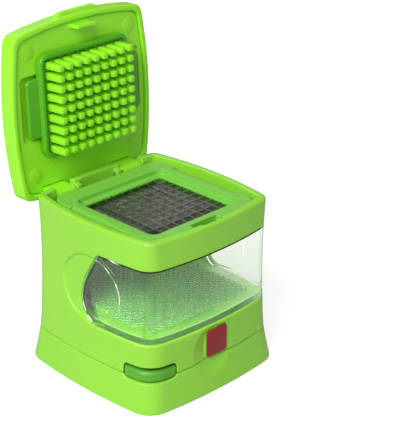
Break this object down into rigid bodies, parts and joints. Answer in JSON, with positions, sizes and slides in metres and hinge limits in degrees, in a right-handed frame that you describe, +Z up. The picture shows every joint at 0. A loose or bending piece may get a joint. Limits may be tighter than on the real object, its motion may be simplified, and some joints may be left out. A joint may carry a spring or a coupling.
{
  "type": "vegetable dicer",
  "caption": "Square hand-held vegetable dicer: hinged pin lid over a lift-out blade grid, clear pull-out drawer and a base tray.",
  "frame": {"origin": "centre of the base tray's flat underside", "axes": "+Z up, -Y towards the front where the drawer pulls out, lid hinge along X at the back (+Y)"},
  "size_m": [0.08, 0.0903, 0.1427],
  "materials": {
    "body_green": "satin moulded green plastic",
    "lid_green": "satin moulded green plastic",
    "comb_green": "matt dark green plastic",
    "cartridge_green": "satin mid green plastic",
    "tab_green": "matt green plastic",
    "badge_red": "plain glossy red",
    "blade_steel": "stainless steel",
    "clear_plastic": "clear moulded plastic"
  },
  "bodies": {
    "base": {"base_tray": "body_green"},
    "release_tab": {"release_tab": "tab_green"},
    "housing": {"housing": "body_green", "hinge_pin_left": "blade_steel", "hinge_pin_right": "blade_steel", "badge": "badge_red"},
    "drawer": {"drawer": "clear_plastic"},
    "lid": {"lid_cover": "lid_green", "pin_plate": "lid_green"},
    "comb": {"cleaning_comb": "comb_green"},
    "cartridge": {"lower_frame": "cartridge_green", "upper_frame": "cartridge_green", "blade_x1": "blade_steel", "blade_x2": "blade_steel", "blade_x3": "blade_steel", "blade_x4": "blade_steel", "blade_x5": "blade_steel", "blade_x6": "blade_steel", "blade_x7": "blade_steel", "blade_x8": "blade_steel", "blade_y1": "blade_steel", "blade_y2": "blade_steel", "blade_y3": "blade_steel", "blade_y4": "blade_steel", "blade_y5": "blade_steel", "blade_y6": "blade_steel", "blade_y7": "blade_steel", "blade_y8": "blade_steel"}
  },
  "joints": [
    {"name": "housing_lift", "type": "slide", "parent": "base", "child": "housing", "axis": [0, 0, 1], "range_m": [0, 0.012]},
    {"name": "release_tab_press", "type": "slide", "parent": "base", "child": "release_tab", "axis": [0.7071, 0.7071, 0], "range_m": [0, 0.0015], "stiffness_N_per_m": 600},
    {"name": "drawer_slide", "type": "slide", "parent": "housing", "child": "drawer", "axis": [0, -1, 0], "range_m": [0, 0.065]},
    {"name": "lid_hinge", "type": "hinge", "parent": "housing", "child": "lid", "pos_m": [0, 0.0336, 0.0699], "axis": [-1, 0, 0], "range_deg": [-93.1, 0]},
    {"name": "comb_slide", "type": "slide", "parent": "lid", "child": "comb", "axis": [0, -0.9985, 0.0541], "range_m": [0, 0.0105]},
    {"name": "cartridge_tip", "type": "hinge", "parent": "housing", "child": "cartridge", "pos_m": [-0.02809, -0.02949, 0.0726], "axis": [0.7071, -0.7071, 0], "range_deg": [0, 41]}
  ]
}
